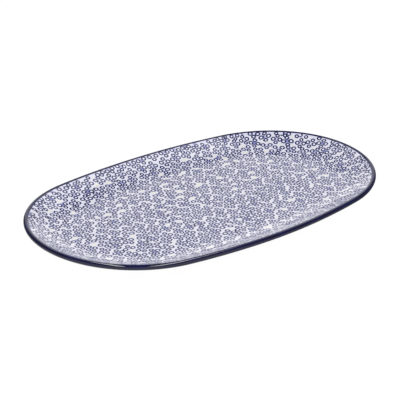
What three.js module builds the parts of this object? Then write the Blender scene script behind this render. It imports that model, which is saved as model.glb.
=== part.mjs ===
// Oval stoneware serving plate: a pressed clay body with a foot ring, and the four coats of
// glaze that are fired onto it. Millimetres, +Z up, +X along the plate's length.
// The origin is the middle of the plate on the surface that it stands on.
import * as THREE from "three";

// Outline of the rim, seen from above
const LENGTH = 305;
const WIDTH = 183;
const SIDE_BOW = 6; // how far the long sides bow out past the round ends
const END_RISE = 1.9; // rim crest at the ends, over its height at the middles of the long sides

// Section through the wall, over the glaze
const WELL_DEPTH = 9.2; // rim crest at the middles of the long sides, down to the well floor
const FLOOR_THICKNESS = 6;
const LIP_THICKNESS = 4.3;
const WALL_SLOPE = THREE.MathUtils.degToRad(24); // both sides of the wall, at the lip
const WELL_BEND = 62; // radius between the wall and the well floor
const UNDER_BEND = 40; // radius between the wall and the underside

// Foot ring
const FOOT_HEIGHT = 3.5;
const FOOT_WIDTH = 4; // flat strip that stands on the table
const FOOT_INSET = 2.5; // flat underside between the wall's bend and the foot
const FOOT_ROUND = 0.9; // bare clay corners at the table
const FOOT_FILLET = 1.2; // root of the foot, over the glaze
const BARE_STRIP = 0.6; // bare clay on the sides of the foot, above its round corners

// Glaze
const GLAZE = 0.4; // thickness of every coat
const BAND_DROP = 8; // rim colour on the outside of the wall, down the slope from the lip

// Fineness of the facets
const END_STEPS = 22; // around each round end
const SIDE_STEPS = 10; // along each long side
const WELL_STEPS = 5;
const LIP_INNER_STEPS = 2;
const LIP_OUTER_STEPS = 4;
const LIP_UNDER_STEPS = 3;
const UNDER_STEPS = 3;
const FILLET_STEPS = 2;

const STONEWARE = 0xb9ab97;
const WHITE_GLAZE = 0xe6e4e0;
const COBALT_GLAZE = 0x20234f;
const CREAM_GLAZE = 0xd9d3c6;

const LIP_RADIUS = LIP_THICKNESS / 2;
const HEIGHT = FOOT_HEIGHT + FLOOR_THICKNESS + WELL_DEPTH;
const FLOOR_Z = FOOT_HEIGHT + FLOOR_THICKNESS;
const QUARTER = Math.PI / 2;
const MOST_BEND = 0.9; // share of a drop that a bend or fillet may take up

// Outline: a rim point and the outward direction there, for each column of facets. Two arcs
// make the ends and two wider arcs the long sides, so a line set in by any distance is again
// four arcs about the same centres.
function rimColumns() {
  const endRadius = WIDTH / 2 - SIDE_BOW;
  const endCentre = LENGTH / 2 - endRadius;
  const sideCentre = (endCentre ** 2 - SIDE_BOW ** 2) / (2 * SIDE_BOW);
  const sideRadius = WIDTH / 2 + sideCentre;
  const joint = Math.atan2(sideCentre, endCentre);
  const arcs = [
    { x: endCentre, y: 0, radius: endRadius, from: -joint, to: joint, steps: END_STEPS },
    { x: 0, y: -sideCentre, radius: sideRadius, from: joint, to: Math.PI - joint, steps: SIDE_STEPS },
    { x: -endCentre, y: 0, radius: endRadius, from: Math.PI - joint, to: Math.PI + joint, steps: END_STEPS },
    { x: 0, y: sideCentre, radius: sideRadius, from: Math.PI + joint, to: 2 * Math.PI - joint, steps: SIDE_STEPS },
  ];
  const columns = arcs.flatMap((arc) =>
    Array.from({ length: arc.steps }, (_, i) => {
      const angle = arc.from + ((arc.to - arc.from) * i) / arc.steps;
      const out = new THREE.Vector2(Math.cos(angle), Math.sin(angle));
      return { out, rim: new THREE.Vector2(arc.x, arc.y).addScaledVector(out, arc.radius) };
    }),
  );
  // The first column is the middle of the +X end, so that a column and its mirror share an x.
  const half = END_STEPS / 2;
  return [...columns.slice(half), ...columns.slice(0, half)];
}

const columns = rimColumns();

// A station is a point of the section: how far it lies in from the rim, its height, and the
// direction that the finished surface faces there, outward and up.
const station = (inset, z, out, up) => ({ inset, z, out, up });
const beneath = (points) =>
  points.map((p) => station(p.inset + GLAZE * p.out, p.z - GLAZE * p.up, p.out, p.up));

// An arc of stations about a centre. side is 1 where the surface bulges and -1 where it is hollow.
function arc(inset, z, radius, from, to, steps, side) {
  return Array.from({ length: steps + 1 }, (_, i) => {
    const angle = from + ((to - from) * i) / steps;
    const out = Math.cos(angle);
    const up = Math.sin(angle);
    return station(inset - radius * out, z + radius * up, side * out, side * up);
  });
}

// One side of the wall seen from above: how far it runs over a given drop, as a straight slope
// and then a bend that ends level. The bend's radius is limited by the drop.
function wallRun(drop, radius) {
  const bend = Math.min(radius, (MOST_BEND * drop) / (1 - Math.cos(WALL_SLOPE)));
  const straightDrop = drop - bend * (1 - Math.cos(WALL_SLOPE));
  return { bend, run: straightDrop / Math.tan(WALL_SLOPE) + bend * Math.sin(WALL_SLOPE) };
}

// Lip, from its inside over the crest and the outermost edge to its outside
const lipArc = (from, to, steps) => arc(LIP_RADIUS, HEIGHT - LIP_RADIUS, LIP_RADIUS, from, to, steps, 1);
const lip = [
  ...lipArc(QUARTER + WALL_SLOPE, QUARTER, LIP_INNER_STEPS),
  ...lipArc(QUARTER, 0, LIP_OUTER_STEPS).slice(1),
  ...lipArc(0, WALL_SLOPE - QUARTER, LIP_UNDER_STEPS).slice(1),
];

// Inside of the plate, from the edge of the flat floor up to the start of the lip
const lipInside = lip[0];
const lipOutside = lip[lip.length - 1];
const { bend: wellBend, run: wellRun } = wallRun(lipInside.z - FLOOR_Z, WELL_BEND);
const floorEdge = lipInside.inset + wellRun;
const well = [
  ...arc(floorEdge, FLOOR_Z + wellBend, wellBend, -QUARTER, WALL_SLOPE - QUARTER, WELL_STEPS, -1),
  lipInside,
];

// Lip and outside of the wall, down to the lower edge of the rim colour
const bandEdge = station(
  lipOutside.inset + BAND_DROP * Math.cos(WALL_SLOPE),
  lipOutside.z - BAND_DROP * Math.sin(WALL_SLOPE),
  lipOutside.out,
  lipOutside.up,
);
const band = [...lip, bandEdge];

// Outside of the wall from there, the underside and the outer side of the foot
const { bend: underBend, run: underRun } = wallRun(bandEdge.z - FOOT_HEIGHT, UNDER_BEND);
const underEdge = bandEdge.inset + underRun;
const bareTop = FOOT_ROUND + BARE_STRIP;
const footFillet = Math.min(FOOT_FILLET, MOST_BEND * (FOOT_HEIGHT - bareTop));
const footRoot = underEdge + FOOT_INSET;
const footOuter = footRoot + footFillet;
const footInner = footOuter + 2 * (GLAZE + FOOT_ROUND) + FOOT_WIDTH;
const fillet = (inset, from, to) =>
  arc(inset, FOOT_HEIGHT - footFillet, footFillet, from, to, FILLET_STEPS, -1);
const underside = [
  bandEdge,
  ...arc(underEdge, FOOT_HEIGHT + underBend, underBend, WALL_SLOPE - QUARTER, -QUARTER, UNDER_STEPS, 1),
  ...fillet(footRoot, QUARTER, Math.PI),
  station(footOuter, bareTop, 1, 0),
];

// Inner side of the foot and the recess under the well
const recess = [
  station(footInner, bareTop, -1, 0),
  ...fillet(footInner + footFillet, 0, QUARTER),
];

// Bare clay at the bottom of the foot
const footCorner = (inset, from, to) =>
  arc(inset, FOOT_ROUND, FOOT_ROUND, from, to, FILLET_STEPS, 1);
const bareFoot = [
  ...footCorner(footOuter + GLAZE + FOOT_ROUND, 0, -QUARTER),
  ...footCorner(footInner - GLAZE - FOOT_ROUND, -QUARTER, -Math.PI),
];

// The wall climbs towards the ends of the plate, while the well floor and the foot stay level.
const riseReach = Math.min(floorEdge, footRoot);
function rise(rim, inset) {
  const toEnd = rim.x / (LENGTH / 2);
  const upWall = Math.max(0, riseReach - inset) / (riseReach - LIP_RADIUS);
  return END_RISE * toEnd ** 2 * upWall ** 2;
}

// Geometry that winds sections round the plate
class OvalGeometry extends THREE.BufferGeometry {
  constructor() {
    super();
    this.points = [];
    this.faces = [];
  }

  ring({ inset, z }) {
    const first = this.points.length / 3;
    for (const { rim, out } of columns) {
      this.points.push(rim.x - inset * out.x, rim.y - inset * out.y, z + rise(rim, inset));
    }
    return first;
  }

  face(a, b, c, flip) {
    this.faces.push(a, ...(flip ? [c, b] : [b, c]));
  }

  // Facets between the rings of a section that runs from the inside of the plate outwards.
  // flip turns them over, for the side of a coat that lies on the clay.
  skin(section, flip = false) {
    const rings = section.map((point) => this.ring(point));
    const count = columns.length;
    for (let r = 0; r + 1 < rings.length; r++) {
      for (let c = 0; c < count; c++) {
        const next = (c + 1) % count;
        const [a, b] = [rings[r] + c, rings[r] + next];
        const [d, e] = [rings[r + 1] + c, rings[r + 1] + next];
        this.face(a, d, e, flip);
        this.face(a, e, b, flip);
      }
    }
    return this;
  }

  // A flat cover inside one ring, in strips between each column and its mirror
  cover(point, flip = false) {
    const first = this.ring(point);
    const count = columns.length;
    for (let c = 0; c < count / 2; c++) {
      const [a, b] = [first + c, first + c + 1];
      const [d, e] = [first + ((count - c) % count), first + count - c - 1];
      if (b !== e) this.face(a, b, e, flip);
      if (a !== d) this.face(a, e, d, flip);
    }
    return this;
  }

  close() {
    this.setAttribute("position", new THREE.Float32BufferAttribute(this.points, 3));
    this.setIndex(this.faces);
    this.computeVertexNormals();
    return this;
  }
}

// The clay body: one section from the middle of the well to the middle of the recess
function bodyGeometry() {
  const section = [
    ...beneath(well),
    ...beneath(band).slice(1),
    ...beneath(underside).slice(1),
    ...bareFoot,
    ...beneath(recess),
  ];
  return new OvalGeometry()
    .cover(section[0])
    .skin(section)
    .cover(section[section.length - 1], true)
    .close();
}

// A coat of glaze: its outer skin, the skin on the clay and an end wall at each edge.
// A coat that reaches the middle of the plate has two covers in place of one of the end walls.
function coatGeometry(section, { coversStart = false, coversEnd = false } = {}) {
  const under = beneath(section);
  const last = section.length - 1;
  const geometry = new OvalGeometry().skin(section).skin(under, true);
  if (coversStart) geometry.cover(section[0]).cover(under[0], true);
  else geometry.skin([section[0], under[0]], true);
  if (coversEnd) geometry.cover(section[last], true).cover(under[last]);
  else geometry.skin([section[last], under[last]]);
  return geometry.close();
}

function piece(name, geometry, color, roughness) {
  const material = new THREE.MeshStandardMaterial({ color, roughness, metalness: 0 });
  const mesh = new THREE.Mesh(geometry, material);
  mesh.name = name;
  return mesh;
}

const plate = new THREE.Group();
plate.add(
  piece("stoneware_body", bodyGeometry(), STONEWARE, 0.9),
  piece("face_glaze", coatGeometry(well, { coversStart: true }), WHITE_GLAZE, 0.15),
  piece("rim_band", coatGeometry(band), COBALT_GLAZE, 0.12),
  piece("underside_glaze", coatGeometry(underside), CREAM_GLAZE, 0.2),
  piece("recess_glaze", coatGeometry(recess, { coversEnd: true }), CREAM_GLAZE, 0.2),
);

export default plate;
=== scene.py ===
"""Looks of an oval stoneware plate: its glaze coats, stamped ring florets, studio and camera."""
import functools
import math
from collections import namedtuple

import bpy
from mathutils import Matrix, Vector, noise


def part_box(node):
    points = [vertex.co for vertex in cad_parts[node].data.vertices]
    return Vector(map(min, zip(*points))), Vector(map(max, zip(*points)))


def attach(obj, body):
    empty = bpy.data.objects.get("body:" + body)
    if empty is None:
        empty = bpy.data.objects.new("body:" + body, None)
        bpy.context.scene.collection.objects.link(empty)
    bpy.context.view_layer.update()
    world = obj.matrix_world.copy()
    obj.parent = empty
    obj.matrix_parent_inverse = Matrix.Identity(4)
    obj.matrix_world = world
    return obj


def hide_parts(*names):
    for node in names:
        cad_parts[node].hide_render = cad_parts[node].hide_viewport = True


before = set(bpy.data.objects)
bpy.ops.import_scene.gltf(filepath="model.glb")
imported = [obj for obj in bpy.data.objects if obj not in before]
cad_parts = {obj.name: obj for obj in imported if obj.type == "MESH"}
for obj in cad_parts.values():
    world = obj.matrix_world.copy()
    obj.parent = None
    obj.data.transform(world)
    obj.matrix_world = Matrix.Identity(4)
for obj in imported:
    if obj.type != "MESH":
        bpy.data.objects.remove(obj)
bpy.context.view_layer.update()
MM = 0.001

Station = namedtuple("Station", "inset z out up")
Column = namedtuple("Column", "rim out")
BakeBox = namedtuple("BakeBox", "x y half_width half_height")
Finish = namedtuple("Finish", "ior rough_scale rough peel_scale peel_depth")
Lamp = namedtuple("Lamp", "name across ahead width length power")

# Sizes that the frame gives, in metres
RIM_LOW, RIM_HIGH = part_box("rim_band")
RECESS_LOW, RECESS_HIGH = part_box("recess_glaze")
LENGTH = RIM_HIGH.x - RIM_LOW.x
WIDTH = RIM_HIGH.y - RIM_LOW.y
GLAZE = RIM_HIGH.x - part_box("stoneware_body")[1].x
FLOOR_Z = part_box("face_glaze")[0].z + GLAZE
FOOT_HEIGHT = RECESS_HIGH.z - GLAZE
BARE_TOP = RECESS_LOW.z

# Sizes of the section and the outline that the frame doesn't give
SIDE_BOW = 6 * MM
END_RISE = 1.9 * MM  # rim crest at the ends, over its height at the middles of the long sides
LIP_RADIUS = 2.15 * MM
WALL_SLOPE = math.radians(24)
WELL_BEND = 62 * MM
UNDER_BEND = 40 * MM
BAND_DROP = 8 * MM
FOOT_INSET = 2.5 * MM
FOOT_FILLET = 1.2 * MM
FOOT_ROUND = 0.9 * MM
FOOT_WIDTH = 4 * MM
GLAZE_ROLL = 0.5 * MM  # height over which a coat thins out at the bare foot
HEIGHT = RIM_HIGH.z - END_RISE
END_RADIUS = WIDTH / 2 - SIDE_BOW
END_CENTRE = LENGTH / 2 - END_RADIUS

# Fineness of the meshes
END_STEPS = 96
SIDE_STEPS = 44
WELL_STEPS = 22
WALL_STEPS = 4
LIP_STEPS = 24
BAND_STEPS = 6
UNDER_STEPS = 14
FILLET_STEPS = 6
ROLL_STEPS = 5
FLOOR_RINGS = 7
SHARP_ANGLE = math.radians(40)  # an edge that turns more than this looks sharp

# Hand-made unevenness
SWELL = 0.22 * MM  # how far the surface wanders
SWELL_SCALE = 14.0  # waves to the metre
SWELL_FADE = 8 * MM  # height over which it dies out towards the table
SPREAD_START = Vector((5.3, 1.7, 9.1))  # keeps the sideways noise apart from the upward one

# Stamped florets of four rings, in staggered rows that are jostled
STAMP_SPACING = 11.0 * MM
STAMP_ROWS = 8.65 * MM
STAMP_SCATTER = 0.85 * MM
STAMP_TURN = 0.36  # radians either way
RINGS = (  # outward and sideways from the middle of the stamp, and the radius to the middle of the line
    (0.0, 3.0 * MM, 1.6 * MM),  # one on each side
    (3.6 * MM, 0.0, 1.4 * MM),
    (-3.6 * MM, 0.0, 1.4 * MM),
)
MISSING_SHARE = 0.18  # stamps whose outermost ring is missing
MISSING_FROM_RIM = 15 * MM  # none is missing nearer to the rim
MISSING_DRAW = 11  # makes a stamp's second random number out of the one that turns it
RIM_MARGIN = 0.2 * MM  # white left between a ring and the rim
RIM_GIVE = 2.0 * MM  # how far a ring is pushed in at the rim before it is left out
LEFT_OUT = 20 * MM  # added to the distance from a ring that is left out
HALF_LINE = 0.64 * MM
LINE_SOFTNESS = 0.16 * MM
HALO_REACH = (0.6 * MM, 1.5 * MM)  # pale blue that spreads from the line into the glaze
RIM_HALO = (4.5 * MM, 2.0 * MM)  # the same from the rim
HALO_SHARE = 0.9  # how much of it shows
POOL_REACH = (1.2 * MM, 2.8 * MM)  # colour that gathers in the middle of a stamp
POOL_NOISE = (0.42, 0.68)  # noise values between which it grows
POOL_SHARE = (0.08, 1)  # from the palest pool to the strongest
CLEAR_SHARE = 0.85  # how much whiter glaze shows inside a ring
INK_NOISE = (0.35, 0.7)  # noise values between which the ink pales
RIM_BLEED = (0.7 * MM, 0.4 * MM)  # where the rim colour thins out, back from the edge of the face
RIM_RAGGED = 0.4 * MM  # how far that wanders
LINE_RELIEF = 0.02 * MM
RELIEF_STRENGTH = 0.4
HAND_WOBBLE = 0.34 * MM
ROW_DRIFT = 8 * MM  # size of the slow noise that bends the rows

# Noises of the pattern, in waves to the metre
WOBBLE_SCALE = 330
DRIFT_SCALE = 22
INK_SCALE = 420
POOL_SCALE = 90
GROUND_SCALE = 24
RAGGED_SCALE = 160

# Finish of the fired coats
FACE_FINISH = Finish(1.6, 60, (0.04, 0.08), 210, 0.05 * MM)
BAND_FINISH = Finish(1.6, 90, (0.04, 0.08), 190, 0.06 * MM)
PLAIN_FINISH = Finish(1.5, 70, (0.12, 0.22), 160, 0.07 * MM)
PEEL_STRENGTH = 0.5
MID_NOISE = (0.3, 0.7)  # the noise values that most places have

# Rim band: thin over the crest of the lip and in patches
CREST_REACH = (0.2 * MM, 1.3 * MM)
CREST_THIN = 0.7
PATCH_THIN = 0.45
PATCH_SCALE = 75
PATCH_NOISE = (0.38, 0.72)

# Plain glaze: clouds and iron specks
CLOUD_SCALE = 30
SPECK_SCALE = 170.0
SPECK_SIZE = (0.05, 0.13)  # as a share of a speck's cell
SPECK_SHARE = 0.12  # cells that hold one
SPECK_STRENGTH = 0.7

# Bare clay
GRAIN_SCALE = 900
GRAIN_NOISE = (0.35, 0.7)
GRAIN_DEPTH = 0.12 * MM
GRAIN_STRENGTH = 0.7
CLAY_CLOUD_SCALE = 45
CLAY_CLOUD_NOISE = (0.25, 0.75)
CLAY_CLOUD_SHARE = (0.5, 1)
CLAY_ROUGH = (0.75, 0.95)

# Colours, as linear light
GROUND = (0.79, 0.78, 0.72, 1)
GROUND_SHADE = (0.755, 0.745, 0.69, 1)
RING_WHITE = (0.85, 0.87, 1.0, 1)
HALO = (0.735, 0.74, 0.92, 1)
WASH = (0.23, 0.245, 0.54, 1)
INK = (0.0105, 0.0125, 0.062, 1)
INK_PALE = (0.032, 0.038, 0.165, 1)
COBALT = (0.006, 0.0065, 0.038, 1)
COBALT_THIN = (0.012, 0.014, 0.088, 1)
CREAM = (0.70, 0.665, 0.58, 1)
CREAM_SHADE = (0.60, 0.56, 0.475, 1)
SPECK = (0.16, 0.10, 0.055, 1)
CLAY = (0.45, 0.365, 0.27, 1)
CLAY_DARK = (0.29, 0.225, 0.16, 1)
WHITE = (1, 1, 1, 1)
PAPER = (0.80, 0.80, 0.80, 1)
DIM_PAPER = (0.06, 0.06, 0.06, 1)

# Bake map of the face
BAKE_SHOWN = BakeBox(0.5, 0.55, 0.49, 0.44)  # the pattern
BAKE_HIDDEN = BakeBox(0.5, 0.05, 0.24, 0.04)  # the strip under it, for what is hidden

# Light of the studio; heights, sides and fronts are the parts of a direction of length 1
AMBIENT = 0.28  # what lights the plate from all round
HORIZON = 1.3  # backdrop near the floor
BACKDROP = 0.75  # backdrop higher up
BACKDROP_FADE = (0.15, 0.4)  # heights between which it dims
BACKDROP_TOP = (0.47, 0.58)  # heights between which it ends
BACKDROP_SIDE = (0.3, 0.5)  # sides between which it ends
BACKDROP_FRONT = (-0.5, 0)  # fronts between which it ends, towards the camera
FRONT = 0.65  # room behind the camera
FRONT_START = (0.2, 0.5)  # fronts between which it begins
FRONT_TOP = (0.3, 0.5)  # heights between which it ends
DIM_STUDIO = 0.1  # all the rest
PAPER_SEEN = 0.985  # floor as the camera sees it, without lamps
PAPER_BEHIND = 0.1  # floor behind the plate, as reflections see it
PAPER_TURN = (-0.05, 0.15)  # metres towards the camera over which it turns as bright as the room
FLOOR_REACH = 4.0
STRIP_HEIGHT = 1.4
LAMPS = (  # metres to the right of the camera's axis and towards the camera, then size and watts
    Lamp("left", -0.39, 0.49, 0.24, 2.02, 10.4),
    Lamp("right", 0.5, 0.5, 0.32, 2.0, 14),
    Lamp("behind_left", -0.65, -1.35, 0.6, 1.3, 1.8),
    Lamp("behind_right", 0.65, -1.35, 0.6, 1.3, 2.7),
)

# Camera, fitted to the outline in the photograph
PHOTO_PIXELS = 400
SENSOR = 36.0
CAMERA_AZIMUTH = -39.0
CAMERA_ELEVATION = 24.5
CAMERA_DISTANCE = 1.007
FOCAL_PIXELS = 1283
RIM_CENTRE_PIXEL = (206.45, 191.45)


# Outline and section

def rim_columns():
    """Rim points and outward directions, from the middle of the +X end: two end arcs, two side arcs."""
    side_centre = (END_CENTRE**2 - SIDE_BOW**2) / (2 * SIDE_BOW)
    side_radius = WIDTH / 2 + side_centre
    joint = math.atan2(side_centre, END_CENTRE)
    arcs = [
        (Vector((END_CENTRE, 0)), END_RADIUS, -joint, joint, END_STEPS),
        (Vector((0, -side_centre)), side_radius, joint, math.pi - joint, SIDE_STEPS),
        (Vector((-END_CENTRE, 0)), END_RADIUS, math.pi - joint, math.pi + joint, END_STEPS),
        (Vector((0, side_centre)), side_radius, math.pi + joint, 2 * math.pi - joint, SIDE_STEPS),
    ]
    columns = []
    for centre, radius, start, stop, steps in arcs:
        for step in range(steps):
            angle = start + (stop - start) * step / steps
            out = Vector((math.cos(angle), math.sin(angle)))
            columns.append(Column(centre + radius * out, out))
    half = END_STEPS // 2
    return columns[half:] + columns[:half]


def arc(inset, z, radius, start, stop, steps, side):
    """Stations on an arc. side is 1 where the surface bulges and -1 where it is hollow."""
    stations = []
    for step in range(steps + 1):
        angle = start + (stop - start) * step / steps
        out, up = math.cos(angle), math.sin(angle)
        stations.append(Station(inset - radius * out, z + radius * up, side * out, side * up))
    return stations


def straight(first, last, steps):
    """Stations between two others that face the same way, without the first and the last."""
    stations = []
    for step in range(1, steps):
        share = step / steps
        inset = first.inset + (last.inset - first.inset) * share
        stations.append(first._replace(inset=inset, z=first.z + (last.z - first.z) * share))
    return stations


def inward_rings(station):
    """Level rings from a station towards the middle of the plate, which keep its height."""
    room = END_RADIUS - station.inset
    rings = []
    for ring in range(1, FLOOR_RINGS + 1):
        rings.append(station._replace(inset=station.inset + room * ring / (FLOOR_RINGS + 1)))
    return rings


def wall_run(drop, bend):
    """How far one side of the wall runs in plan: a straight slope, then a bend that ends level."""
    straight_drop = drop - bend * (1 - math.cos(WALL_SLOPE))
    return straight_drop / math.tan(WALL_SLOPE) + bend * math.sin(WALL_SLOPE)


def beneath(stations):
    """The same stations on the clay, under the coat."""
    return [s._replace(inset=s.inset + GLAZE * s.out, z=s.z - GLAZE * s.up) for s in stations]


def along_of(stations):
    """How far each station lies along a section from its first."""
    lengths = [0.0]
    for last, this in zip(stations, stations[1:]):
        lengths.append(lengths[-1] + math.hypot(this.inset - last.inset, this.z - last.z))
    return lengths


QUARTER = math.pi / 2
COLUMNS = rim_columns()
LIP = arc(
    LIP_RADIUS, HEIGHT - LIP_RADIUS, LIP_RADIUS, QUARTER + WALL_SLOPE, WALL_SLOPE - QUARTER, LIP_STEPS, 1
)
CREST_ALONG = LIP_RADIUS * WALL_SLOPE  # from the inner edge of the lip to its crest
FLOOR_EDGE = LIP[0].inset + wall_run(LIP[0].z - FLOOR_Z, WELL_BEND)
WELL_CURVE = arc(FLOOR_EDGE, FLOOR_Z + WELL_BEND, WELL_BEND, -QUARTER, WALL_SLOPE - QUARTER, WELL_STEPS, -1)
WALL = WELL_CURVE + straight(WELL_CURVE[-1], LIP[0], WALL_STEPS) + [LIP[0]]
FLOOR = inward_rings(WALL[0])[::-1]
FACE = FLOOR + WALL
FACE_END = along_of(FACE)[-1]
FLAT_RIM = along_of(WALL)[-1] - FLOOR_EDGE  # how far the wall laid flat reaches past the rim's outline
BAND_EDGE = LIP[-1]._replace(
    inset=LIP[-1].inset + BAND_DROP * math.cos(WALL_SLOPE),
    z=LIP[-1].z - BAND_DROP * math.sin(WALL_SLOPE),
)
BAND = LIP + straight(LIP[-1], BAND_EDGE, BAND_STEPS) + [BAND_EDGE]
UNDER_EDGE = BAND_EDGE.inset + wall_run(BAND_EDGE.z - FOOT_HEIGHT, UNDER_BEND)
UNDER_CURVE = arc(
    UNDER_EDGE, FOOT_HEIGHT + UNDER_BEND, UNDER_BEND, WALL_SLOPE - QUARTER, -QUARTER, UNDER_STEPS, 1
)
FOOT_OUTER = UNDER_EDGE + FOOT_INSET + FOOT_FILLET
FOOT_INNER = FOOT_OUTER + 2 * (GLAZE + FOOT_ROUND) + FOOT_WIDTH
FILLET_Z = FOOT_HEIGHT - FOOT_FILLET
OUTER_FILLET = arc(FOOT_OUTER - FOOT_FILLET, FILLET_Z, FOOT_FILLET, QUARTER, math.pi, FILLET_STEPS, -1)
INNER_FILLET = arc(FOOT_INNER + FOOT_FILLET, FILLET_Z, FOOT_FILLET, 0, QUARTER, FILLET_STEPS, -1)
OUTER_CORNER = FOOT_OUTER + GLAZE + FOOT_ROUND
INNER_CORNER = FOOT_INNER - GLAZE - FOOT_ROUND
BARE_FOOT = (
    arc(OUTER_CORNER, FOOT_ROUND, FOOT_ROUND, 0, -QUARTER, FILLET_STEPS, 1)
    + arc(INNER_CORNER, FOOT_ROUND, FOOT_ROUND, -QUARTER, -math.pi, FILLET_STEPS, 1)
)
RISE_REACH = min(FLOOR_EDGE, FOOT_OUTER - FOOT_FILLET)


def rise(rim, inset):
    """How far the wall climbs towards the ends, while the well floor and the foot stay level."""
    to_end = rim.x / (LENGTH / 2)
    up_wall = max(0.0, RISE_REACH - inset) / (RISE_REACH - LIP_RADIUS)
    return END_RISE * to_end**2 * up_wall**2


def rolled_edge(side_station, toward):
    """The rounded bead where a coat thins out on the side of the foot, from full thickness to none.
    toward is 1 on the foot's outer side and -1 on its inner side.
    Returns its finished stations and the clay stations under them."""
    finished, clay = [], []
    for step in range(ROLL_STEPS + 1):
        turn = QUARTER * step / ROLL_STEPS
        z = BARE_TOP + GLAZE_ROLL * (1 - math.sin(turn))
        on_clay = side_station._replace(inset=side_station.inset + GLAZE * toward, z=z)
        finished.append(on_clay._replace(inset=on_clay.inset - GLAZE * math.cos(turn) * toward))
        clay.append(on_clay)
    return finished, clay


def settle(point):
    """Moves a point by the slow unevenness of a pressed and fired plate."""
    fade = min(1.0, max(0.0, point.z / SWELL_FADE))
    place = Vector((point.x, point.y, 0)) * SWELL_SCALE
    lift = noise.noise(place)
    spread = noise.noise(place + SPREAD_START)
    shift = Vector((point.x, point.y, 0)).normalized() * spread
    shift.z = lift
    return point + shift * SWELL * fade


class Winding:
    """Rings of points wound round the plate, and the faces between them."""

    def __init__(self):
        self.points = []
        self.faces = []
        self.along = []
        self.flat = []

    def ring(self, station, along, flat_inset):
        first = len(self.points)
        for column in COLUMNS:
            place = column.rim - station.inset * column.out
            z = station.z + rise(column.rim, station.inset)
            self.points.append(settle(Vector((place.x, place.y, z))))
            self.along.append(along)
            self.flat.append(column.rim - flat_inset * column.out if flat_inset is not None else None)
        return first

    def face(self, corners, flip):
        self.faces.append(corners[::-1] if flip else corners)

    def skin(self, stations, flip=False, flat_insets=None):
        """Faces over a section that runs from the inside of the plate outwards and under."""
        count = len(COLUMNS)
        lengths = along_of(stations)
        rings = []
        for index, station in enumerate(stations):
            flat_inset = flat_insets[index] if flat_insets else None
            rings.append(self.ring(station, lengths[index], flat_inset))
        for inner, outer in zip(rings, rings[1:]):
            for c in range(count):
                n = (c + 1) % count
                self.face((inner + c, outer + c, outer + n, inner + n), flip)
        return rings

    def cover(self, first, flip=False):
        """Closes a ring with strips between each column and its mirror."""
        count = len(COLUMNS)
        for c in range(count // 2):
            corners = (first + c, first + c + 1, first + count - c - 1, first + (count - c) % count)
            distinct = tuple(dict.fromkeys(corners))
            if len(distinct) > 2:
                self.face(distinct, flip)

    def bridge(self, ring_a, ring_b):
        """The narrow wall between the edges of two skins."""
        count = len(COLUMNS)
        for c in range(count):
            n = (c + 1) % count
            self.face((ring_a + c, ring_b + c, ring_b + n, ring_a + n), False)

    def make(self, name):
        mesh = bpy.data.meshes.new(name)
        mesh.from_pydata(self.points, [], self.faces)
        mesh.validate()
        mesh.shade_smooth()
        mesh.set_sharp_from_angle(angle=SHARP_ANGLE)
        section = mesh.uv_layers.new(name="section")
        for loop in mesh.loops:
            section.data[loop.index].uv = (self.along[loop.vertex_index], 0)
        piece = bpy.data.objects.new(name, mesh)
        bpy.context.collection.objects.link(piece)
        return piece


# Node helpers

class Graph:
    """The nodes of one material or world, added a call at a time."""

    def __init__(self, tree):
        self.tree = tree
        tree.nodes.clear()

    def add(self, kind, inputs=None, **settings):
        node = self.tree.nodes.new(kind)
        for key, value in settings.items():
            setattr(node, key, value)
        for key, value in (inputs or {}).items():
            if isinstance(value, bpy.types.NodeSocket):
                self.tree.links.new(value, node.inputs[key])
            else:
                node.inputs[key].default_value = value
        return node

    def math(self, operation, *values, clamp=False):
        node = self.add("ShaderNodeMath", dict(enumerate(values)), operation=operation, use_clamp=clamp)
        return node.outputs[0]

    def vector(self, operation, *values):
        node = self.add("ShaderNodeVectorMath", dict(enumerate(values)), operation=operation)
        return node.outputs["Value" if operation in {"LENGTH", "DISTANCE", "DOT_PRODUCT"} else "Vector"]

    def scaled(self, vector, factor):
        node = self.add("ShaderNodeVectorMath", {0: vector, "Scale": factor}, operation="SCALE")
        return node.outputs["Vector"]

    def part(self, vector, axis):
        return self.add("ShaderNodeSeparateXYZ", {0: vector}).outputs[axis]

    def centred(self, colour):
        """A random colour as a vector about zero."""
        return self.vector("SUBTRACT", colour, (0.5, 0.5, 0.5))

    def step(self, value, low, high, start=0.0, stop=1.0):
        """A smooth step from start to stop as value goes from low to high."""
        inputs = {"Value": value, "From Min": low, "From Max": high, "To Min": start, "To Max": stop}
        return self.add("ShaderNodeMapRange", inputs, interpolation_type="SMOOTHSTEP").outputs[0]

    def mix(self, factor, first, second):
        """A colour between two others."""
        inputs = {"Factor": factor, 6: first, 7: second}
        return self.add("ShaderNodeMix", inputs, data_type="RGBA").outputs[2]

    def between(self, factor, first, second):
        """A number between two others."""
        return self.add("ShaderNodeMix", {0: factor, 2: first, 3: second}).outputs[0]

    def noise(self, vector, scale, detail=2.0, output="Fac"):
        inputs = {"Vector": vector, "Scale": scale, "Detail": detail}
        return self.add("ShaderNodeTexNoise", inputs).outputs[output]

    def uv(self, name):
        return self.add("ShaderNodeUVMap", uv_map=name).outputs["UV"]

    def position(self):
        return self.add("ShaderNodeTexCoord").outputs["Object"]

    def bump(self, height, distance, strength, normal=None):
        inputs = {"Height": height, "Distance": distance, "Strength": strength}
        if normal is not None:
            inputs["Normal"] = normal
        return self.add("ShaderNodeBump", inputs).outputs["Normal"]

    def surface(self, **inputs):
        shader = self.add("ShaderNodeBsdfPrincipled", {k.replace("_", " "): v for k, v in inputs.items()})
        self.add("ShaderNodeOutputMaterial", {"Surface": shader.outputs[0]})


def new_material(name):
    material = bpy.data.materials.new(name)
    material.use_nodes = True
    return material, Graph(material.node_tree)


# Materials

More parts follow.
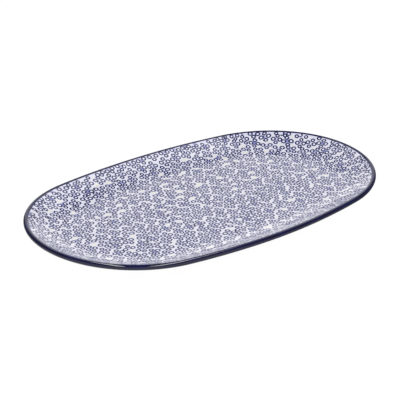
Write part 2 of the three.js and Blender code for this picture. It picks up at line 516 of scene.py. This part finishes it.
def fired_finish(graph, finish):
    """Roughness that varies a little, and the faint orange peel of a fired coat."""
    place = graph.position()
    rough = graph.step(graph.noise(place, finish.rough_scale, 3.0), *MID_NOISE, *finish.rough)
    peel = graph.bump(graph.noise(place, finish.peel_scale), finish.peel_depth, PEEL_STRENGTH)
    return rough, peel


def stamp_places(graph, place, drift, shift):
    """In one grid of stamps: the offset from the nearest stamp, turned so that its first axis points at the
    rim, the room between that stamp's middle and the rim, and a random number of its own."""
    size = (2 * STAMP_SPACING, 2 * STAMP_ROWS, 1)
    to_cell = (STAMP_SPACING - shift[0], STAMP_ROWS - shift[1], 0)
    cell = graph.vector("SNAP", graph.vector("ADD", place, to_cell), size)
    aim = graph.vector("ADD", cell, (*shift, 0))
    chance = graph.add("ShaderNodeTexWhiteNoise", {"Vector": aim}, noise_dimensions="2D").outputs["Color"]
    jostle = graph.vector("MULTIPLY", graph.centred(chance), (1, 1, 0))
    middle = graph.vector("ADD", aim, graph.scaled(jostle, 2 * STAMP_SCATTER))
    mirrored = graph.vector("MULTIPLY", graph.vector("SUBTRACT", place, middle), graph.vector("SIGN", middle))
    settled = graph.vector("ABSOLUTE", graph.vector("SUBTRACT", middle, drift))
    outward = graph.vector("MAXIMUM", graph.vector("SUBTRACT", settled, (END_CENTRE, 0, 0)), (0, 0, 0))
    far = graph.vector("LENGTH", outward)

    # A stamp on the floor points at a long side, and one up the wall at the nearest rim.
    reach = END_RADIUS - FLOOR_EDGE
    up_wall = graph.step(far, reach + STAMP_SPACING, reach + 2 * STAMP_SPACING)
    endward = graph.math("MULTIPLY", graph.part(outward, 0), up_wall)
    heading = graph.math("ARCTAN2", graph.part(outward, 1), endward)
    drawn = graph.add("ShaderNodeSeparateColor", {0: chance}).outputs[2]
    aside = graph.math("SUBTRACT", drawn, 0.5)
    turn = graph.math("SUBTRACT", graph.math("MULTIPLY", aside, 2 * STAMP_TURN), heading)
    turned = graph.add("ShaderNodeVectorRotate", {"Vector": mirrored, "Angle": turn}, rotation_type="Z_AXIS")

    # The sides of the rim bow out between the ends.
    along = graph.math("DIVIDE", graph.part(settled, 0), END_CENTRE, clamp=True)
    along_squared = graph.math("MULTIPLY", along, along)
    rim = graph.math("MULTIPLY_ADD", along_squared, -SIDE_BOW, FLAT_RIM + WIDTH / 2)
    room = graph.math("SUBTRACT", rim, far)
    luck = graph.math("FRACT", graph.math("MULTIPLY", drawn, MISSING_DRAW))
    return turned.outputs[0], room, luck


def least(graph, values):
    """The smallest of several values."""
    return functools.reduce(lambda a, b: graph.math("MINIMUM", a, b), values)


def stamped_rings(graph, place, drift):
    """How far a place lies from the nearest ring's line, how far beyond the nearest ring, and how far from
    the middle of the nearest stamp."""
    from_line, beyond, from_middle = [], [], []
    for column in (0, 1):
        for row in (0, 1):
            shift = ((column + row / 2) * STAMP_SPACING, row * STAMP_ROWS)
            offset, room, luck = stamp_places(graph, place, drift, shift)
            # Folded along the stamp's first axis, so that one ring stands for both sides.
            folded = graph.vector("MAXIMUM", offset, graph.vector("MULTIPLY", offset, (1, -1, 1)))
            from_middle.append(graph.vector("LENGTH", folded))
            inner = graph.math("GREATER_THAN", room, MISSING_FROM_RIM)
            dropped = graph.math("MULTIPLY", inner, graph.math("LESS_THAN", luck, MISSING_SHARE))
            for outward, sideways, radius in RINGS:
                fits = graph.math("SUBTRACT", room, radius + HALF_LINE + RIM_MARGIN)
                pushed = graph.math("MINIMUM", fits, outward)
                middle = graph.add("ShaderNodeCombineXYZ", {0: pushed, 1: sideways}).outputs[0]
                missing = graph.math("LESS_THAN", fits, outward - RIM_GIVE)
                if outward > 0:
                    missing = graph.math("MAXIMUM", missing, dropped)
                outside = graph.math("SUBTRACT", graph.vector("DISTANCE", folded, middle), radius)
                outside = graph.math("MULTIPLY_ADD", missing, LEFT_OUT, outside)
                beyond.append(outside)
                from_line.append(graph.math("ABSOLUTE", outside))
    return least(graph, from_line), least(graph, beyond), least(graph, from_middle)


def around_rings(graph, flat, section, beyond, from_middle):
    """The colour of the glaze between and inside the rings."""
    around = graph.step(beyond, HALF_LINE + HALO_REACH[0], HALF_LINE + HALO_REACH[1], 1, 0)
    at_rim = graph.step(section, FACE_END - RIM_HALO[0], FACE_END - RIM_HALO[1])
    halo = graph.math("MAXIMUM", around, at_rim)
    strength = graph.step(graph.noise(flat, POOL_SCALE, 1.0), *POOL_NOISE, *POOL_SHARE)
    pool = graph.math("MULTIPLY", graph.step(from_middle, *POOL_REACH, 1, 0), strength)
    inside = graph.step(beyond, -HALF_LINE, 0, 1, 0)
    ground = graph.mix(graph.noise(flat, GROUND_SCALE), GROUND, GROUND_SHADE)
    paled = graph.mix(graph.math("MULTIPLY", halo, HALO_SHARE), ground, HALO)
    washed = graph.mix(pool, paled, WASH)
    return graph.mix(graph.math("MULTIPLY", inside, CLEAR_SHARE), washed, RING_WHITE)


def stamped_glaze():
    material, graph = new_material("stamped_glaze")
    flat = graph.uv("pattern")
    section = graph.part(graph.uv("section"), 0)
    # The stamp is pressed by hand, so its rings are a little out of round.
    wobble = graph.scaled(graph.centred(graph.noise(flat, WOBBLE_SCALE, 1.0, "Color")), HAND_WOBBLE)
    # The rows are set by eye, so they wander.
    drift = graph.scaled(graph.centred(graph.noise(flat, DRIFT_SCALE, 1.0, "Color")), ROW_DRIFT)
    moved = graph.vector("ADD", flat, graph.vector("ADD", wobble, drift))
    place = graph.vector("MULTIPLY", moved, (1, 1, 0))
    from_line, beyond, from_middle = stamped_rings(graph, place, drift)
    line = graph.step(from_line, HALF_LINE - LINE_SOFTNESS, HALF_LINE + LINE_SOFTNESS, 1, 0)
    ink = graph.mix(graph.step(graph.noise(flat, INK_SCALE, 3.0), *INK_NOISE), INK, INK_PALE)
    decorated = graph.mix(line, around_rings(graph, flat, section, beyond, from_middle), ink)
    # The rim colour runs a little into the white where the two coats meet.
    ragged = graph.math("MULTIPLY", graph.noise(flat, RAGGED_SCALE, 3.0), RIM_RAGGED)
    edge = graph.math("ADD", section, ragged)
    bleed = graph.step(edge, FACE_END - RIM_BLEED[0], FACE_END - RIM_BLEED[1])
    colour = graph.mix(bleed, decorated, COBALT_THIN)
    rough, peel = fired_finish(graph, FACE_FINISH)
    relief = graph.bump(line, LINE_RELIEF, RELIEF_STRENGTH, peel)
    graph.surface(Base_Color=colour, Roughness=rough, IOR=FACE_FINISH.ior, Normal=relief)
    return material


def cobalt_glaze():
    material, graph = new_material("cobalt_glaze")
    along = graph.part(graph.uv("section"), 0)
    from_crest = graph.math("ABSOLUTE", graph.math("SUBTRACT", along, CREST_ALONG))
    thin = graph.step(from_crest, *CREST_REACH, CREST_THIN, 0)
    patches = graph.step(graph.noise(graph.position(), PATCH_SCALE, 4.0), *PATCH_NOISE)
    share = graph.math("MULTIPLY", graph.math("ADD", thin, PATCH_THIN), patches, clamp=True)
    colour = graph.mix(share, COBALT, COBALT_THIN)
    rough, peel = fired_finish(graph, BAND_FINISH)
    graph.surface(Base_Color=colour, Roughness=rough, IOR=BAND_FINISH.ior, Normal=peel)
    return material


def plain_glaze():
    material, graph = new_material("plain_glaze")
    place = graph.position()
    cloud = graph.noise(place, CLOUD_SCALE, 4.0)
    ground = graph.mix(graph.step(cloud, *MID_NOISE), CREAM, CREAM_SHADE)
    specks = graph.add("ShaderNodeTexVoronoi", {"Vector": place, "Scale": SPECK_SCALE})
    chance = graph.add("ShaderNodeSeparateColor", {0: specks.outputs["Color"]}).outputs[0]
    dot = graph.step(specks.outputs["Distance"], *SPECK_SIZE, 1, 0)
    shown = graph.math("MULTIPLY", dot, graph.math("LESS_THAN", chance, SPECK_SHARE))
    speckled = graph.mix(graph.math("MULTIPLY", shown, SPECK_STRENGTH), ground, SPECK)
    rough, peel = fired_finish(graph, PLAIN_FINISH)
    graph.surface(Base_Color=speckled, Roughness=rough, IOR=PLAIN_FINISH.ior, Normal=peel)
    return material


def bare_stoneware():
    material, graph = new_material("bare_stoneware")
    place = graph.position()
    grain = graph.noise(place, GRAIN_SCALE, 5.0)
    cloud = graph.step(graph.noise(place, CLAY_CLOUD_SCALE, 3.0), *CLAY_CLOUD_NOISE, *CLAY_CLOUD_SHARE)
    share = graph.math("MULTIPLY", graph.step(grain, *GRAIN_NOISE), cloud)
    colour = graph.mix(share, CLAY, CLAY_DARK)
    rough = graph.step(grain, *MID_NOISE, *CLAY_ROUGH)
    relief = graph.bump(grain, GRAIN_DEPTH, GRAIN_STRENGTH)
    graph.surface(Base_Color=colour, Roughness=rough, Normal=relief)
    return material


# Pieces

def dress(piece, node, material):
    piece.data.materials.append(material)
    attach(piece, "root")
    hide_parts(node)


def in_box(box, x, y):
    """A place in a part of the bake map, for x and y from -1 to 1."""
    return box.x + box.half_width * x, box.y + box.half_height * y


def lay_out_face(piece, winding):
    """The face's flat pattern map, and its bake map: the pattern above, and what is hidden below."""
    mesh = piece.data
    pattern = mesh.uv_layers.new(name="pattern")
    bake = mesh.uv_layers.new(name="OFBake")
    reach_x = max(abs(p.x) for p in winding.flat if p)
    reach_y = max(abs(p.y) for p in winding.flat if p)
    for face in mesh.polygons:
        shown = all(winding.flat[v] for v in face.vertices)
        for loop in face.loop_indices:
            vertex = mesh.loops[loop].vertex_index
            if shown:
                place = winding.flat[vertex]
                pattern.data[loop].uv = place
                bake.data[loop].uv = in_box(BAKE_SHOWN, place.x / reach_x, place.y / reach_y)
            else:
                point = mesh.vertices[vertex].co
                pattern.data[loop].uv = (0, 0)
                bake.data[loop].uv = in_box(BAKE_HIDDEN, 2 * point.x / LENGTH, 2 * point.y / WIDTH)


def face_glaze():
    winding = Winding()
    flat_insets = [s.inset for s in FLOOR]
    flat_insets += [FLOOR_EDGE - length for length in along_of(WALL)]
    top = winding.skin(FACE, flat_insets=flat_insets)
    bottom = winding.skin(beneath(FACE), flip=True)
    winding.cover(top[0])
    winding.cover(bottom[0], flip=True)
    winding.bridge(top[-1], bottom[-1])
    piece = winding.make("face_glaze_coat")
    lay_out_face(piece, winding)
    dress(piece, "face_glaze", stamped_glaze())


def rim_band():
    winding = Winding()
    top = winding.skin(BAND)
    bottom = winding.skin(beneath(BAND), flip=True)
    winding.bridge(bottom[0], top[0])
    winding.bridge(top[-1], bottom[-1])
    dress(winding.make("rim_band_coat"), "rim_band", cobalt_glaze())


def foot_coats(material):
    """The plain coats on both sides of the foot. Returns the clay stations under each."""
    outer_roll, outer_clay = rolled_edge(OUTER_FILLET[-1], 1)
    inner_roll, inner_clay = rolled_edge(INNER_FILLET[0], -1)
    wall = straight(BAND_EDGE, UNDER_CURVE[0], BAND_STEPS)
    outside = [BAND_EDGE] + wall + UNDER_CURVE + OUTER_FILLET
    inside = INNER_FILLET + inward_rings(INNER_FILLET[-1])
    under_outside = beneath(outside) + outer_clay
    under_inside = inner_clay[::-1] + beneath(inside)

    winding = Winding()
    top = winding.skin(outside + outer_roll[:-1])
    bottom = winding.skin(under_outside, flip=True)
    winding.bridge(bottom[0], top[0])
    winding.bridge(top[-1], bottom[-1])
    dress(winding.make("underside_coat"), "underside_glaze", material)

    winding = Winding()
    top = winding.skin(inner_roll[-2::-1] + inside)
    bottom = winding.skin(under_inside, flip=True)
    winding.bridge(bottom[0], top[0])
    winding.cover(top[-1], flip=True)
    winding.cover(bottom[-1])
    dress(winding.make("recess_coat"), "recess_glaze", material)
    return under_outside, under_inside


def stoneware_body(outer_clay, inner_clay):
    winding = Winding()
    section = beneath(FACE) + beneath(BAND)[1:] + outer_clay[1:] + BARE_FOOT + inner_clay
    rings = winding.skin(section)
    winding.cover(rings[0])
    winding.cover(rings[-1], flip=True)
    dress(winding.make("clay_body"), "stoneware_body", bare_stoneware())


# Studio

def direction_to(azimuth, elevation):
    """The way from the plate to a place in the studio; azimuth 0 is where a camera looks along +Y."""
    turn, tilt = math.radians(azimuth), math.radians(elevation)
    return Vector((math.sin(turn) * math.cos(tilt), -math.cos(turn) * math.cos(tilt), math.sin(tilt)))


TO_CAMERA = direction_to(CAMERA_AZIMUTH, 0)
TO_RIGHT = direction_to(CAMERA_AZIMUTH + 90, 0)


def paper_floor():
    """A white floor. The camera sees it nearly white by itself, and the lamps add the shadow."""
    mesh = bpy.data.meshes.new("floor")
    corners = [(x * FLOOR_REACH, y * FLOOR_REACH, 0) for x, y in ((-1, -1), (1, -1), (1, 1), (-1, 1))]
    mesh.from_pydata(corners, [], [(0, 1, 2, 3)])
    floor = bpy.data.objects.new("floor", mesh)
    bpy.context.collection.objects.link(floor)
    material, graph = new_material("white_paper")
    rays = graph.add("ShaderNodeLightPath").outputs
    seen = graph.math("MAXIMUM", rays["Is Camera Ray"], rays["Is Glossy Ray"])
    seen = graph.math("MAXIMUM", seen, rays["Is Transmission Ray"])
    ahead = graph.vector("DOT_PRODUCT", graph.position(), TO_CAMERA)
    mirrored = graph.step(ahead, *PAPER_TURN, PAPER_BEHIND, FRONT)
    glow = graph.between(rays["Is Camera Ray"], mirrored, PAPER_SEEN)
    paper = graph.add("ShaderNodeBsdfDiffuse", {"Color": PAPER})
    dim_paper = graph.add("ShaderNodeBsdfDiffuse", {"Color": DIM_PAPER})
    white = graph.add("ShaderNodeEmission", {"Color": WHITE, "Strength": glow})
    shown = graph.add("ShaderNodeAddShader", {0: dim_paper.outputs[0], 1: white.outputs[0]})
    both = graph.add("ShaderNodeMixShader", {0: seen, 1: paper.outputs[0], 2: shown.outputs[0]})
    graph.add("ShaderNodeOutputMaterial", {"Surface": both.outputs[0]})
    mesh.materials.append(material)


def studio_world():
    """White to the camera. Reflections see a white backdrop behind the plate and a dim studio elsewhere."""
    world = bpy.data.worlds.new("studio")
    world.use_nodes = True
    bpy.context.scene.world = world
    graph = Graph(world.node_tree)
    rays = graph.add("ShaderNodeLightPath").outputs
    direction = graph.add("ShaderNodeTexCoord").outputs["Generated"]
    height = graph.part(direction, 2)
    in_front = graph.vector("DOT_PRODUCT", direction, TO_CAMERA)
    sideways = graph.math("ABSOLUTE", graph.vector("DOT_PRODUCT", direction, TO_RIGHT))
    across = graph.step(sideways, *BACKDROP_SIDE, 1, 0)
    behind = graph.math("MULTIPLY", across, graph.step(in_front, *BACKDROP_FRONT, 1, 0))
    lit = graph.math("MULTIPLY", behind, graph.step(height, *BACKDROP_TOP, 1, 0))
    backdrop = graph.math("MULTIPLY", lit, graph.step(height, *BACKDROP_FADE, HORIZON, BACKDROP))
    low = graph.step(height, *FRONT_TOP, FRONT, 0)
    room = graph.math("MULTIPLY", graph.step(in_front, *FRONT_START), low)
    mirrored = graph.math("MAXIMUM", DIM_STUDIO, graph.math("MAXIMUM", backdrop, room))
    for_plate = graph.between(rays["Is Glossy Ray"], AMBIENT, mirrored)
    strength = graph.between(rays["Is Camera Ray"], for_plate, 1.0)
    back = graph.add("ShaderNodeBackground", {"Color": WHITE, "Strength": strength})
    graph.add("ShaderNodeOutputWorld", {"Surface": back.outputs[0]})


def strip(lamp):
    """A soft overhead lamp that runs along the camera's axis."""
    light = bpy.data.lights.new(lamp.name, "AREA")
    light.shape = "RECTANGLE"
    light.size = lamp.width
    light.size_y = lamp.length
    light.energy = lamp.power
    box = bpy.data.objects.new(lamp.name, light)
    box.location = TO_RIGHT * lamp.across + TO_CAMERA * lamp.ahead + Vector((0, 0, STRIP_HEIGHT))
    box.rotation_euler = (0, 0, math.radians(CAMERA_AZIMUTH))
    bpy.context.collection.objects.link(box)


def camera():
    data = bpy.data.cameras.new("camera")
    data.sensor_width = SENSOR
    data.lens = FOCAL_PIXELS / PHOTO_PIXELS * SENSOR
    data.shift_x = (PHOTO_PIXELS / 2 - RIM_CENTRE_PIXEL[0]) / PHOTO_PIXELS
    data.shift_y = (RIM_CENTRE_PIXEL[1] - PHOTO_PIXELS / 2) / PHOTO_PIXELS
    eye = bpy.data.objects.new("camera", data)
    toward = direction_to(CAMERA_AZIMUTH, CAMERA_ELEVATION)
    eye.location = Vector((0, 0, HEIGHT)) + toward * CAMERA_DISTANCE
    eye.rotation_euler = toward.to_track_quat("Z", "Y").to_euler()
    bpy.context.collection.objects.link(eye)
    bpy.context.scene.camera = eye


camera()
face_glaze()
rim_band()
OUTER_CLAY, INNER_CLAY = foot_coats(plain_glaze())
stoneware_body(OUTER_CLAY, INNER_CLAY)
paper_floor()
studio_world()
for lamp in LAMPS:
    strip(lamp)
bpy.context.scene.view_settings.view_transform = "Standard"
